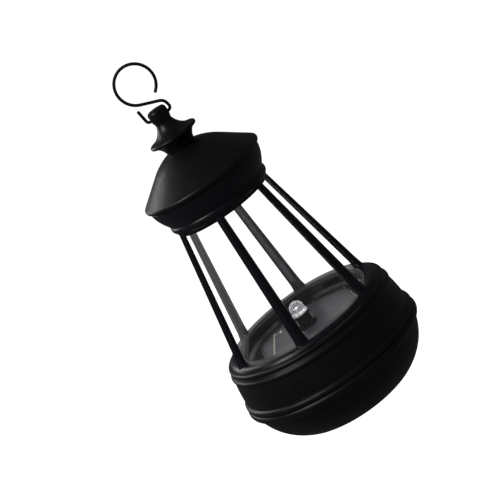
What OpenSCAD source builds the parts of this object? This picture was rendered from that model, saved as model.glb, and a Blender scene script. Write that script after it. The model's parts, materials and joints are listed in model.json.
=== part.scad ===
// Solar garden light: a hanging lantern whose solar panel and LED sit on the floor of a ribbed cage.
// Origin at the centre of the flat underside, +Z up, one rib at -Y, the hook in the X-Z plane.

/* [Base] */
// Widest radius, over the lower bead of the band
band_r = 64; // [63.2:0.2:64.6]
// Radius of the curve that forms the side of the bowl
bowl_side_r = 37; // [37:0.5:42]
// Radius of the corner between the underside and the side
bowl_corner_r = 12; // [10:1:13]
// Height of the seam between the bowl and the upper shell
seam_z = 31.5; // [30.5:0.5:32.5]
// Height of the top of the upper shell, where the cage stands
shell_top_z = 61; // [60.5:0.5:62]
// Wall thickness of the moulded shells
wall = 2.2; // [1.8:0.2:2.4]

/* [Cage] */
// Number of ribs, and of flat sides on the shade and the panel
rib_count = 6; // [6:2:8]
// Width of a rib at its foot
rib_w = 7.6; // [6.4:0.4:8]
// Thickness of a rib at its foot
rib_t = 4.4; // [4:0.2:4.6]
// Share of its width and thickness that a rib keeps at its head
rib_taper = 0.68; // [0.6:0.02:1]
// Outer radius of the ribs where they leave the foot ring
rib_foot_r = 53.8; // [53.4:0.2:54]
// Outer radius of the ribs where they enter the collar
rib_head_r = 35; // [34.6:0.2:35.2]
// Height of the lower lip of the collar
collar_z = 151; // [145:0.5:155]

/* [Roof and finial] */
// Radius of the rim of the roof
roof_r = 41.8; // [40.8:0.2:43]
// Radius of the disc of the finial
disc_r = 16.4; // [14:0.2:18]
// Radius of the stem of the finial, at the hook
stem_r = 6.4; // [6:0.1:6.5]
// Height of the stem above its disc
stem_h = 19.5; // [18:0.5:20]

/* [Hook] */
// Thickness of the hook's wire
wire_d = 2; // [1.6:0.1:2.2]
// Radius of the big loop, to the middle of the wire
loop_r = 12.8; // [11:0.2:15]

/* [Electrics] */
// Distance from the middle of the solar panel to its corners
panel_r = 38.6; // [36:0.2:39]
// How far the panel is turned from the ribs
panel_turn = 11; // [0:0.5:30]
// Diameter of the LED
led_d = 10; // [5:1:10]
// Diameter of the rechargeable cell
cell_d = 14.4; // [14:0.1:14.5]
// Length of the rechargeable cell, with its raised contact
cell_l = 50.4; // [49.5:0.1:50.5]
// Travel of the switch
switch_travel = 3.6; // [3:0.2:3.8]

/* [Hidden] */
$fn = 72;

// Clearances
pin_gap = 0.08;
overlap = 0.5;
joint_trim = 0.2;
joint_swell = 1.08;

// Base
seam_gap = 0.4;
floor_t = 4;
crease_z = seam_z - 5.5;
crease_r = band_r - 3;
bowl_curve_z = seam_z + 1.6;
bowl_curve = [crease_r - sqrt(pow(bowl_side_r, 2) - pow(bowl_curve_z - crease_z, 2)), bowl_curve_z];
bowl_corner = [
    bowl_curve.x + sqrt(pow(bowl_side_r - bowl_corner_r, 2) - pow(bowl_curve_z - bowl_corner_r, 2)),
    bowl_corner_r
];
join_angle = atan2(bowl_corner.y - bowl_curve.y, bowl_corner.x - bowl_curve.x);
crease_angle = -asin((bowl_curve_z - crease_z) / bowl_side_r);
lower_bead_r = 3.2;
lower_bead = [band_r - lower_bead_r, seam_z - 2.5];
upper_bead_r = 2.6;
upper_bead = [band_r - 0.6 - upper_bead_r, seam_z + 1.9];
tongue_r = band_r - 4.2;
tongue_t = 1.8;
tongue_h = 2.8;
seal_r = band_r - 2.5;
seal_wire = 1.4;
shell_r = band_r - 2.5;
shell_neck_r = band_r - 4.6;
neck_z = shell_top_z - 8.7;
shell_bulge = 0.35;
flange_t = 2.4;
flange_r = 47.2;

// Base screws, up through deep pockets in the bowl into the posts of the tray
post_at = 32.5;
post_r = 4.2;
post_joint_z = seam_z + 2.5;
pocket_top_z = post_joint_z - 10;
pocket_r = 3.4;

// Tray
tray_r = 46.8;
tray_wall = 1.6;
tray_floor_z = 54.4;
tray_floor_t = 1.2;
tray_lip_r = 48.2;
tray_lip_t = 1.2;

// Cage
ring_top_z = shell_top_z + 3;
ring_r = 55.9;
ring_inner_r = 46.5;
rib_root = 2;
rib_reach = 4;
foot_h = 5;
foot_w = rib_w * 1.16;
foot_l = rib_t + 0.8;
foot_lip = 0.2;
foot_sink = 1.4;
foot_slope = 41;
rib_rise = collar_z - ring_top_z;
rib_lean = atan((rib_foot_r - rib_head_r) / rib_rise);
rib_l = rib_rise / cos(rib_lean);
collar_lip_r = 32.9;
collar_inner_r = rib_head_r - 3.5;
collar_h = 21.2;
collar_top_z = collar_z + collar_h;
collar_top_r = roof_r - 1.9;
collar_bead_r = 3.6;
collar_bead = [collar_lip_r - 1.3, collar_z + 5.3];
plate_z = collar_z + 8.5;
plate_t = 2.4;
cage_screw_at = rib_foot_r - 2.8;

// Shade
shade_t = 1.5;
shade_gap = 0.8;
gasket_t = 0.6;
shade_z = shell_top_z + tray_lip_t + gasket_t;
shade_flange_t = 1.8;
shade_r = ring_inner_r - 0.2;

// Panel and LED
panel_t = 1.2;
panel_corner = 0.96;
bezel_w = 2;
bezel_h = 1.8;
panel_hole_r = 7.4;
ribbon_w = 1.2;
ribbon_t = 0.15;
lead_hole = [-22, 3];
led_r = led_d / 2;
led_z = 65;
led_flange_r = led_r + 0.6;
led_flange_t = 1;
led_barrel_h = 3.6;
led_ring_t = 0.6;
holder_r = led_r + 1;
lead_gap = 1.27;
lead_w = 0.5;

// Roof
roof_rim_r = 2;
roof_rim = [roof_r - roof_rim_r, collar_top_z + 2.3];
roof_slope = 37.8;
crown_r = 41.8;
crown_start = 24.8;
roof_t = 2;
seat_r = 9.9;
crown_start_z = roof_rim.y + roof_rim_r * cos(roof_slope)
    + (roof_rim.x + roof_rim_r * sin(roof_slope) - crown_start) * tan(roof_slope);
crown = [crown_start - crown_r * sin(roof_slope), crown_start_z - crown_r * cos(roof_slope)];
seat_z = crown.y + sqrt(pow(crown_r, 2) - pow(seat_r - crown.x, 2));
roof_post_at = 18;
roof_post_r = 3.6;

// Finial
neck_r = 9.7;
disc_edge_r = 1.3;
disc_z = seat_z + 8.4;
stem_top_z = disc_z + stem_h;
pin_z = stem_top_z - 5.3;

// Hook: a pin through the stem, a bend up each side, and a loop over the top
wire_r = wire_d / 2;
pin_half = stem_r + 0.15;
bend_r = 2.2;
riser_turn = 100;
riser_l = 1.5;
elbow_r = 5;
cross_heading = 159;
cross_l = 11.9;
loop_end = -45;
tip_l = 2.4;
tail_turn = 84;
tail_l = 7.8;

// Battery compartment
cell_r = cell_d / 2;
door_l = 73;
door_w = 22;
door_t = 2.2;
door_corner = 4;
seal_t = 0.6;
bay_l = 55.4;
bay_w = 15.8;
holder_wall = 1.3;
cell_z = floor_t + 0.6 + cell_r;
holder_top_z = cell_z + cell_r + 0.8 + holder_wall;
door_screw_at = 33.2;
door_post_h = 7;
can_l = cell_l - 1.4;
button_r = 2.7;
contact_t = 0.5;
tab_x = bay_l / 2 - 1.5;

// Spring contact
coil_turns = 3;
coil_steps = 20;
coil_sides = 6;
coil_wire_r = 0.3;
coil_foot_r = 4.4;
coil_tip_r = 2.6;
coil_x = bay_l / 2 - contact_t - coil_wire_r + 0.05;
coil_reach = bay_l / 2 - contact_t - cell_l / 2 - 0.1 - 2 * coil_wire_r;

// Switch
switch_y = -25;
switch_l = 12.6;
switch_w = 6.6;
switch_h = 5;
switch_ear_l = 23;
switch_screw_at = 9.5;
switch_z = floor_t + gasket_t;
slot_l = switch_travel + 4;
slot_w = 3.2;
knob_l = 3.6;
knob_w = 2.6;

// Circuit board
board_z = 47.6;
board_t = 1.4;
board_l = 44;
board_w = 30;
board_screw_x = 17;
board_screw_y = 10;

// Points of an arc in a plane. skip leaves out the first point where two arcs meet
function arc(c, r, from, to, n = 8, skip = 0) =
    [for (i = [skip:n]) c + r * [cos(from + (to - from) * i / n), sin(from + (to - from) * i / n)]];

function rib_r(z) = rib_foot_r - (z - ring_top_z) * tan(rib_lean);

function rib_depth(z) =
    rib_t * (1 - (1 - rib_taper) * (z - ring_top_z + rib_root) / (rib_rise + rib_root + rib_reach));

function shade_corner(z) = rib_r(z) - rib_depth(z) - shade_gap;

function bowl_side(inset) = concat(
    arc(bowl_corner, bowl_corner_r - inset, -90, join_angle, 6),
    arc(bowl_curve, bowl_side_r - inset, join_angle, crease_angle, 10, 1));

module turned(points) rotate_extrude($fn = 96) polygon(points);

module tube(outer, inner, h) difference() {
    cylinder(r = outer, h = h);
    translate([0, 0, -overlap]) cylinder(r = inner, h = h + 2 * overlap);
}

module around(count, radius, start = 0)
    for (i = [0:count - 1]) rotate([0, 0, start + 360 * i / count]) translate([radius, 0, 0]) children();

module each_side(x) for (s = [-1, 1]) translate([s * x, 0, 0]) children();

// A flat plate with rounded corners
module plate(l, w, corner, h) linear_extrude(h) {
    square([l - 2 * corner, w], center = true);
    square([l, w - 2 * corner], center = true);
    for (x = [-1, 1], y = [-1, 1]) translate([x * (l / 2 - corner), y * (w / 2 - corner)]) circle(r = corner);
}

// A pan-head screw with its head at the origin and its shank up +Z
module screw(head_r, head_h, shank_r, length, recess = 0.5) difference() {
    union() {
        translate([0, 0, -head_h]) cylinder(r = head_r, h = head_h);
        translate([0, 0, -0.1]) cylinder(r = shank_r, h = length - 0.5);
        translate([0, 0, length - 0.7]) cylinder(r1 = shank_r, r2 = shank_r * 0.4, h = 0.7);
    }
    for (a = [0, 90]) rotate([0, 0, a])
        translate([-head_r * 0.6, -recess / 2, -head_h - 0.01]) cube([head_r * 1.2, recess, head_h * 0.5]);
}

// A round wire along straight runs. Each corner is a slightly larger ball, and the runs end inside it
module rod(a, b, r, trim_a, trim_b) {
    d = b - a;
    translate(a) rotate([0, acos(d.z / norm(d)), atan2(d.y, d.x)])
        translate([0, 0, trim_a]) cylinder(r = r, h = norm(d) - trim_a - trim_b, $fn = 16);
}
module wire(points, r) {
    last = len(points) - 2;
    for (i = [0:last]) rod(points[i], points[i + 1], r, i == 0 ? 0 : joint_trim, i == last ? 0 : joint_trim);
    for (i = [1:last]) translate(points[i]) sphere(r = r * joint_swell, $fn = 16);
}

// ---- Base ----

module base_bowl() color([0.11, 0.11, 0.13]) difference() {
    union() {
        difference() {
            turned(concat([[0, 0]], bowl_side(0),
                arc(lower_bead, lower_bead_r, -68, asin((seam_z - lower_bead.y) / lower_bead_r), 8),
                [[tongue_r, seam_z], [tongue_r, seam_z + tongue_h],
                 [tongue_r - tongue_t, seam_z + tongue_h], [0, seam_z + tongue_h]]));
            intersection() {
                turned(concat([[0, 0]], bowl_side(wall),
                    [[tongue_r - tongue_t, crease_z + 2], [tongue_r - tongue_t, seam_z + 10],
                     [0, seam_z + 10]]));
                translate([0, 0, floor_t]) cylinder(r = band_r, h = seam_z + 10);
            }
            translate([0, 0, seam_z - seal_wire / 2 - 0.35]) tube(seal_r + 0.75, seal_r - 0.75, seal_wire);
        }
        around(4, post_at, 45) cylinder(r = post_r + 0.3, h = post_joint_z);
        each_side(door_screw_at) cylinder(r = 3, h = floor_t + door_post_h);
    }
    around(4, post_at, 45) {
        translate([0, 0, -overlap]) cylinder(r = pocket_r, h = pocket_top_z + overlap);
        cylinder(r = 1.7, h = post_joint_z + overlap);
    }
    translate([0, 0, -overlap]) plate(door_l + 0.3, door_w + 0.3, door_corner, door_t + seal_t + overlap);
    plate(bay_l - 0.4, bay_w + 0.4, 1, floor_t + overlap);
    each_side(door_screw_at) translate([0, 0, 1]) cylinder(r = 1.25, h = floor_t + door_post_h - 2);
    translate([0, switch_y, -overlap]) plate(16, 8, 1.5, 2.2 + overlap);
    translate([0, switch_y, 0]) plate(slot_l, slot_w, 0.5, floor_t + overlap);
    translate([0, switch_y, floor_t - 2.5]) each_side(switch_screw_at) cylinder(r = 1, h = 3);
}

module base_shell() color([0.12, 0.12, 0.14]) difference() {
    turned(concat(
        [[flange_r, shell_top_z - flange_t], [shell_neck_r - wall - 1.6, shell_top_z - flange_t],
         [shell_neck_r - wall, neck_z], [shell_r - wall, seam_z + 5], [tongue_r + 0.2, seam_z + 4],
         [tongue_r + 0.2, seam_z + seam_gap]],
        arc(upper_bead, upper_bead_r, asin((seam_gap - 1.9) / upper_bead_r), 70, 8),
        [for (t = [0:0.25:1]) [
            shell_r + (shell_neck_r - shell_r) * t + shell_bulge * 4 * t * (1 - t),
            seam_z + 4.6 + (neck_z - seam_z - 4.6) * t]],
        arc([shell_neck_r - 1.4, neck_z + 2.2], 2, -50, 55, 6),
        arc([shell_neck_r - 2.5, neck_z + 6.9], 1.6, -45, 62, 6),
        [[ring_r + 0.6, shell_top_z], [flange_r, shell_top_z]]));
    around(3, cage_screw_at, -90)
        translate([0, 0, shell_top_z - flange_t - overlap]) cylinder(r = 1.4, h = 5);
}

module band_seal() color([0.05, 0.05, 0.05])
    translate([0, 0, seam_z + seam_gap - seal_wire / 2])
        rotate_extrude($fn = 96) translate([seal_r, 0]) circle(r = seal_wire / 2, $fn = 24);

module base_screws() color("silver")
    around(4, post_at, 45) translate([0, 0, pocket_top_z]) screw(2.8, 2, 1.45, 19);

// ---- Cage ----

module rib_section() polygon([
    [-rib_t, -rib_w / 2], [-rib_t * 0.45, -rib_w / 2], [0, -rib_w * 0.07], [0, rib_w * 0.07],
    [-rib_t * 0.45, rib_w / 2], [-rib_t, rib_w / 2],
    [-rib_t, rib_w * 0.2], [-rib_t * 0.8, rib_w * 0.12], [-rib_t * 0.8, -rib_w * 0.12], [-rib_t, -rib_w * 0.2]
]);

module rib() {
    translate([rib_foot_r, 0, ring_top_z]) rotate([0, -rib_lean, 0])
        translate([0, 0, -rib_root]) linear_extrude(rib_l + rib_root + rib_reach, scale = rib_taper)
            rib_section();
    translate([rib_foot_r + foot_lip - foot_l, -foot_w / 2, ring_top_z - foot_sink]) difference() {
        cube([foot_l, foot_w, foot_h + foot_sink]);
        translate([foot_l, -1, foot_sink]) rotate([0, -foot_slope, 0]) cube([10, foot_w + 2, 20]);
    }
}

module cage() color([0.13, 0.13, 0.15]) difference() {
    union() {
        turned(concat(
            [[ring_inner_r, ring_top_z - 0.3], [ring_inner_r, shell_top_z + tray_lip_t + 0.1],
             [tray_lip_r + 0.2, shell_top_z + tray_lip_t + 0.1], [tray_lip_r + 0.2, shell_top_z]],
            [[ring_r, shell_top_z]],
            arc([ring_r - 4.4, shell_top_z - 1.4], 4.4, 30, 80, 6),
            [[ring_inner_r + 0.5, ring_top_z]]));
        around(rib_count, 0, -90) rib();
        turned(concat(
            [[collar_inner_r, collar_z], [collar_lip_r, collar_z]],
            arc(collar_bead, collar_bead_r, -50, 38, 7),
            [for (t = [0.2:0.2:1]) [
                collar_bead.x + 3.2 + (collar_top_r - collar_bead.x - 3.2) * sin(90 * t),
                collar_bead.y + 2.4 + (collar_top_z - collar_bead.y - 2.4) * t]],
            [[collar_top_r - 2.1, collar_top_z], [collar_top_r - 2.1, collar_top_z - 4],
             [collar_bead.x + 0.9, plate_z + plate_t], [0, plate_z + plate_t], [0, plate_z],
             [collar_bead.x + 0.9, plate_z], [collar_bead.x + 0.9, collar_z + 2.5],
             [collar_inner_r, collar_z + 2.5]]));
    }
    around(3, cage_screw_at, -90) translate([0, 0, shell_top_z - overlap]) cylinder(r = 1.15, h = 5);
    around(3, roof_post_at, -60)
        translate([0, 0, plate_z - overlap]) cylinder(r = 1.7, h = plate_t + 2 * overlap);
}

module cage_screws() color("silver")
    around(3, cage_screw_at, -90) translate([0, 0, shell_top_z - flange_t]) screw(2.1, 1.5, 1.1, 6.4);

// The shade's outline between two heights: its corners stay just inside the ribs and the foot ring
module shade_solid(inset, from_z, to_z) translate([0, 0, from_z]) intersection() {
    rotate([0, 0, -90]) cylinder(
        r1 = shade_corner(from_z) - inset / cos(180 / rib_count),
        r2 = shade_corner(to_z) - inset / cos(180 / rib_count),
        h = to_z - from_z, $fn = rib_count);
    cylinder(r = shade_r - inset, h = to_z - from_z);
}

module clear_shade() color([0.85, 0.88, 0.92, 0.35]) difference() {
    union() {
        shade_solid(0, shade_z, plate_z);
        translate([0, 0, shade_z]) cylinder(r = shade_r, h = shade_flange_t);
    }
    shade_solid(shade_t, shade_z - 1, plate_z + 1);
}

module shade_gasket() color([0.2, 0.2, 0.2])
    translate([0, 0, shell_top_z + tray_lip_t]) tube(shade_r, shade_r - 1.6, gasket_t);

// ---- Tray, panel and LED ----

module at_board_screws() for (x = [-board_screw_x, board_screw_x], y = [-board_screw_y, board_screw_y])
    translate([x, y, board_z]) children();

module panel_outline(r) intersection() {
    rotate(panel_turn - 90) circle(r = r, $fn = rib_count);
    circle(r = r * panel_corner);
}

module panel_tray() color([0.08, 0.08, 0.09]) {
    difference() {
        union() {
            turned([
                [0, tray_floor_z - tray_floor_t], [tray_r - 2.5, tray_floor_z - tray_floor_t],
                [tray_r, tray_floor_z + 1.3], [tray_r, shell_top_z], [tray_lip_r, shell_top_z],
                [tray_lip_r, shell_top_z + tray_lip_t], [tray_r - tray_wall, shell_top_z + tray_lip_t],
                [tray_r - tray_wall, tray_floor_z + 2], [tray_r - tray_wall - 2, tray_floor_z],
                [0, tray_floor_z]]);
            around(4, post_at, 45) translate([0, 0, post_joint_z])
                cylinder(r = post_r, h = tray_floor_z - post_joint_z - 0.5);
            at_board_screws() translate([0, 0, board_t])
                cylinder(r = 2.4, h = tray_floor_z - board_z - board_t - 0.5);
        }
        around(4, post_at, 45) translate([0, 0, post_joint_z - overlap]) cylinder(r = 1.5, h = 12);
        at_board_screws() cylinder(r = 0.95, h = 5.2);
        translate([0, 0, tray_floor_z - 5]) cylinder(r = 3, h = 10);
        for (s = [-1, 1])
            translate([lead_hole.x, s * lead_hole.y, tray_floor_z - 5]) cylinder(r = 1.2, h = 10);
    }
}

module panel_bezel() color([0.1, 0.1, 0.12])
    translate([0, 0, tray_floor_z]) linear_extrude(bezel_h) difference() {
        panel_outline(panel_r + bezel_w + 0.2);
        panel_outline(panel_r + 0.2);
    }

module solar_panel() color([0.12, 0.14, 0.2])
    translate([0, 0, tray_floor_z]) difference() {
        linear_extrude(panel_t) panel_outline(panel_r);
        translate([0, 0, -1]) cylinder(r = panel_hole_r, h = panel_t + 2);
    }

// A flat tinned ribbon along the end of the cells, with a short branch to a drop of solder
module panel_bus_bar() color([0.8, 0.78, 0.7]) translate([-26.4, -16, tray_floor_z + panel_t]) {
    cube([ribbon_w, 36, ribbon_t]);
    translate([0, 32.3, 0]) cube([5.7, ribbon_w, ribbon_t]);
    translate([5.7, 32.9, 0]) cylinder(r = 1.3, h = 0.6);
}

module led_holder() color([0.07, 0.07, 0.08]) translate([0, 0, tray_floor_z]) difference() {
    union() {
        cylinder(r = holder_r + 1.2, h = 1.6);
        cylinder(r = holder_r - 1, h = led_z - led_ring_t - tray_floor_z);
        translate([0, 0, led_z - led_ring_t - tray_floor_z - 1.4]) cylinder(r = holder_r, h = 1.4);
        around(6, holder_r - 1.2) translate([0, -0.7, 0]) cube([1.8, 1.4, 3.4]);
    }
    each_side(lead_gap) translate([0, 0, -1]) cylinder(r = 0.6, h = 20);
}

module led_ring() color([0.6, 0.6, 0.62])
    translate([0, 0, led_z - led_ring_t]) tube(holder_r - 0.2, 2.4, led_ring_t);

module led_lens() color([0.9, 0.92, 0.95, 0.5]) translate([0, 0, led_z]) {
    cylinder(r = led_flange_r, h = led_flange_t);
    turned(concat([[0, 0], [led_r, 0], [led_r, led_barrel_h]],
        arc([0, led_barrel_h], led_r, 12, 90, 8)));
}

module led_leads() color("silver") each_side(lead_gap)
    translate([-lead_w / 2, -lead_w / 2, board_z + board_t - 0.01])
        cube([lead_w, lead_w, led_z - board_z - board_t]);

// ---- Roof, finial and hook ----

module roof() color([0.14, 0.14, 0.16]) difference() {
    union() {
        turned(concat(
            [[collar_top_r - 2.2, collar_top_z - 2], [collar_top_r - 2.2, collar_top_z],
             [collar_top_r, collar_top_z]],
            arc(roof_rim, roof_rim_r, -65, 90 - roof_slope, 8),
            arc(crown, crown_r, 90 - roof_slope, acos((seat_r - crown.x) / crown_r), 8),
            [[0, seat_z], [0, seat_z - roof_t - 0.4], [seat_r, seat_z - roof_t - 0.4]],
            arc(crown, crown_r - roof_t, acos((seat_r + 1.4 - crown.x) / crown_r), 90 - roof_slope, 5),
            [[roof_rim.x - 1.6, roof_rim.y + 0.6], [collar_top_r - 3.8, collar_top_z],
             [collar_top_r - 3.8, collar_top_z - 2]]));
        around(3, roof_post_at, -60) translate([0, 0, plate_z + plate_t])
            cylinder(r = roof_post_r, h = crown_start_z - plate_z - plate_t + 0.8);
    }
    around(3, roof_post_at, -60) translate([0, 0, plate_z]) cylinder(r = 1.5, h = 16);
    translate([0, 0, seat_z - 10]) cylinder(r = 1.9, h = 20);
}

module roof_screws() color("silver")
    around(3, roof_post_at, -60) translate([0, 0, plate_z]) screw(2.8, 2, 1.45, 14);

module finial() color([0.13, 0.13, 0.15]) difference() {
    turned(concat(
        [[0, seat_z], [neck_r - 0.5, seat_z], [neck_r, seat_z + 0.8]],
        arc([neck_r + 9.3, disc_z - 9.5], 9.3, 172, 118, 7),
        arc([disc_r - disc_edge_r, disc_z], disc_edge_r, -70, 75, 6),
        arc([disc_r + 0.8, disc_z + 13.1], 12, 258, 196, 8),
        [[stem_r - 0.75, disc_z + 10.8], [stem_r, disc_z + 13.6]],
        [[stem_r, stem_top_z - 2.6]],
        arc([stem_r - 2.4, stem_top_z - 2.4], 2.4, 8, 86, 6),
        [[0, stem_top_z]]));
    translate([0, 0, seat_z - 1]) cylinder(r = 1.8, h = 12);
    translate([0, 0, pin_z]) rotate([0, 90, 0]) translate([0, 0, -20]) cylinder(r = wire_r + pin_gap, h = 40);
}

module finial_washer() color("silver")
    translate([0, 0, seat_z - roof_t - 0.4 - 0.8]) tube(5, 2, 0.8);

module finial_screw() color("silver")
    translate([0, 0, seat_z - roof_t - 0.4 - 0.8]) screw(3.3, 2.4, 1.75, 13, 0.7);

// Positions along the hook, in its own plane, measured from the pin
riser_start = [pin_half, bend_r] + bend_r * [cos(riser_turn - 90), sin(riser_turn - 90)];
riser_end = riser_start + riser_l * [cos(riser_turn), sin(riser_turn)];
elbow = riser_end + elbow_r * [cos(riser_turn + 90), sin(riser_turn + 90)];
cross_start = elbow + elbow_r * [cos(cross_heading - 90), sin(cross_heading - 90)];
cross_end = cross_start + cross_l * [cos(cross_heading), sin(cross_heading)];
loop_centre = cross_end + loop_r * [cos(cross_heading - 90), sin(cross_heading - 90)];
loop_tip = loop_centre + loop_r * [cos(loop_end), sin(loop_end)];
tail_start = [-pin_half, bend_r] - bend_r * [sin(tail_turn), cos(tail_turn)];

module hook_arc(c, r, from, to) {
    trim = joint_trim / r * 180 / PI;
    translate([c.x, 0, c.y]) rotate([90, 0, 0]) rotate([0, 0, from + trim])
        rotate_extrude(angle = to - from - 2 * trim) translate([r, 0]) circle(r = wire_r, $fn = 24);
}
module hook_run(a, heading, l, trim_a = joint_trim, trim_b = joint_trim)
    translate([a.x, 0, a.y]) rotate([0, 90 - heading, 0]) translate([0, 0, trim_a])
        cylinder(r = wire_r, h = l - trim_a - trim_b, $fn = 24);

module hanging_hook() color([0.15, 0.15, 0.17]) translate([0, 0, pin_z]) {
    hook_run([-pin_half, 0], 0, 2 * pin_half);
    hook_arc([pin_half, bend_r], bend_r, -90, riser_turn - 90);
    hook_run(riser_start, riser_turn, riser_l);
    hook_arc(elbow, elbow_r, riser_turn - 90, cross_heading - 90);
    hook_run(cross_start, cross_heading, cross_l);
    hook_arc(loop_centre, loop_r, loop_end, cross_heading + 90);
    hook_run(loop_tip, loop_end - 90, tip_l, joint_trim, 0);
    hook_arc([-pin_half, bend_r], bend_r, 270 - tail_turn, 270);
    hook_run(tail_start, 180 - tail_turn, tail_l, joint_trim, 0);
    for (p = [
        [pin_half, 0], riser_start, riser_end, cross_start, cross_end, loop_tip, [-pin_half, 0], tail_start
    ])
        translate([p.x, 0, p.y]) sphere(r = wire_r * 1.04, $fn = 24);
}

// ---- Battery compartment ----

module battery_holder() color([0.16, 0.16, 0.17]) difference() {
    translate([0, 0, floor_t])
        plate(bay_l + 2 * holder_wall, bay_w + 2 * holder_wall, 1.5, holder_top_z - floor_t);
    translate([0, 0, floor_t - overlap])
        plate(bay_l, bay_w, 0.4, holder_top_z - floor_t - holder_wall + overlap);
    each_side(tab_x) translate([0, 0, holder_top_z - 3]) cylinder(r = 1, h = 6);
}

module battery_can() color("silver") translate([-cell_l / 2, 0, cell_z]) rotate([0, 90, 0]) {
    cylinder(r = button_r, h = cell_l - 1);
    translate([0, 0, cell_l - can_l]) cylinder(r = cell_r - 0.3, h = can_l);
}

module battery_sleeve() color([0.2, 0.5, 0.3])
    translate([cell_l / 2 - can_l + 0.6, 0, cell_z]) rotate([0, 90, 0])
        tube(cell_r, cell_r - 0.3, can_l - 1.2);

function coil_point(i, side) = let (
    t = i / (coil_turns * coil_steps),
    a = 360 * i / coil_steps,
    u = 360 * side / coil_sides,
    r = coil_foot_r + (coil_tip_r - coil_foot_r) * t + coil_wire_r * cos(u)
) [coil_x - coil_reach * t + coil_wire_r * sin(u), r * cos(a), cell_z + r * sin(a)];

// A conical coil pressed nearly flat
module coil() {
    last = coil_turns * coil_steps;
    polyhedron(
        points = [for (i = [0:last], j = [0:coil_sides - 1]) coil_point(i, j)],
        faces = concat(
            [[for (j = [0:coil_sides - 1]) coil_sides - 1 - j]],
            [[for (j = [0:coil_sides - 1]) last * coil_sides + j]],
            [for (i = [0:last - 1], j = [0:coil_sides - 1]) let (k = (j + 1) % coil_sides)
                [i * coil_sides + j, i * coil_sides + k,
                 (i + 1) * coil_sides + k, (i + 1) * coil_sides + j]]));
}

module contact_spring() color("silver") {
    translate([bay_l / 2 - contact_t, -5, cell_z - 5]) cube([contact_t, 10, 11]);
    coil();
}

module contact_plate() color("silver") {
    reach = bay_l / 2 - contact_t - cell_l / 2 - 0.05;
    translate([-bay_l / 2, -5, cell_z - 5]) cube([contact_t, 10, 11]);
    translate([-bay_l / 2 + contact_t - 0.01, 0, cell_z]) rotate([0, 90, 0]) cylinder(r = 2, h = reach);
}

module battery_door() color([0.1, 0.1, 0.12]) difference() {
    plate(door_l, door_w, door_corner, door_t);
    each_side(door_screw_at) {
        translate([0, 0, -overlap]) cylinder(r = 2.7, h = 1.4 + overlap);
        cylinder(r = 1.4, h = 5);
    }
    for (x = [-6:2:6]) translate([x - 0.4, -5, -0.1]) cube([0.8, 10, 0.5]);
}

module door_seal() color([0.25, 0.25, 0.25]) translate([0, 0, door_t]) difference() {
    plate(door_l - 0.4, door_w - 0.4, door_corner, seal_t);
    translate([0, 0, -1]) plate(bay_l + 1, bay_w + 1.4, 1, seal_t + 2);
    each_side(door_screw_at) translate([0, 0, -1]) cylinder(r = 1.5, h = 5);
}

module door_screws() color("silver")
    each_side(door_screw_at) translate([0, 0, 1.4]) screw(2.4, 1.2, 1.2, 8);

// ---- Circuit board ----

module circuit_board() color([0.1, 0.35, 0.2]) translate([0, 0, board_z]) difference() {
    translate([-board_l / 2, -board_w / 2, 0]) cube([board_l, board_w, board_t]);
    translate([0, 0, -board_z - 1]) at_board_screws() cylinder(r = 1.1, h = 5);
}

module board_screws() color("silver")
    at_board_screws() screw(1.8, 1.2, 0.9, 5);

module controller_chip() color([0.06, 0.06, 0.06]) {
    translate([4, -3, board_z - 2]) cube([5, 4, 1.6]);
    for (i = [0:3]) translate([4.4 + i * 1.27, -4.2, board_z - 1.2]) cube([0.5, 6.4, 1.2]);
}

module inductor() color([0.3, 0.5, 0.35]) translate([-8, 0, board_z - 2.3]) rotate([90, 0, 0])
    translate([0, 0, -4]) {
        cylinder(r = 2.1, h = 8);
        for (z = [-1.6, 9.2]) translate([0, 0, z]) cylinder(r = 0.4, h = 2);
        for (z = [-1.4, 9.2]) translate([-0.4, 0, z]) cube([0.8, 2.3, 0.8]);
    }

module capacitor() color([0.15, 0.2, 0.4]) translate([-16, 3, board_z - 8]) {
    cylinder(r = 2.6, h = 7);
    for (y = [-1, 1]) translate([-0.25, y - 0.25, 6.5]) cube([0.5, 0.5, 1.5]);
}

// ---- Switch ----

module switch_body() color([0.1, 0.1, 0.1]) translate([0, switch_y, switch_z]) difference() {
    union() {
        plate(switch_ear_l, switch_w - 1, 1, 1);
        plate(switch_l, switch_w, 0.5, switch_h);
    }
    translate([0, 0, -1]) plate(slot_l, knob_w + 0.3, 0.3, 2.7);
    each_side(switch_screw_at) translate([0, 0, -1]) cylinder(r = 1.1, h = 3);
}

module switch_knob() color([0.75, 0.75, 0.75]) translate([-switch_travel / 2, switch_y, 0])
    translate([-knob_l / 2, -knob_w / 2, 0.7]) {
        difference() {
            cube([knob_l, knob_w, switch_z + 0.8]);
            for (i = [0:1]) translate([0.9 + i * 1.2, -1, -0.1]) cube([0.5, knob_w + 2, 0.6]);
        }
    }

module switch_gasket() color([0.25, 0.25, 0.25]) translate([0, switch_y, floor_t]) difference() {
    plate(switch_ear_l, switch_w, 1, gasket_t);
    translate([0, 0, -1]) plate(slot_l, slot_w, 0.5, 3);
    each_side(switch_screw_at) translate([0, 0, -1]) cylinder(r = 1.1, h = 3);
}

module switch_screws() color("silver") translate([0, switch_y, switch_z + 1]) each_side(switch_screw_at)
    mirror([0, 0, 1]) screw(1.9, 1.2, 0.95, 3.8);

module switch_terminals() color("silver")
    for (x = [-3, 0, 3]) translate([x - 0.6, switch_y - 0.2, switch_z + switch_h]) cube([1.2, 0.4, 4]);

// ---- Wires ----

module panel_wires() color([0.6, 0.1, 0.1]) for (s = [-1, 1])
    wire([[lead_hole.x, s * lead_hole.y, tray_floor_z], [lead_hole.x, s * lead_hole.y, 51.2],
          [-19.5, s * 5.5, 50.4], [-19.5, s * 5.5, board_z + board_t]], 0.5);

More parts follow.
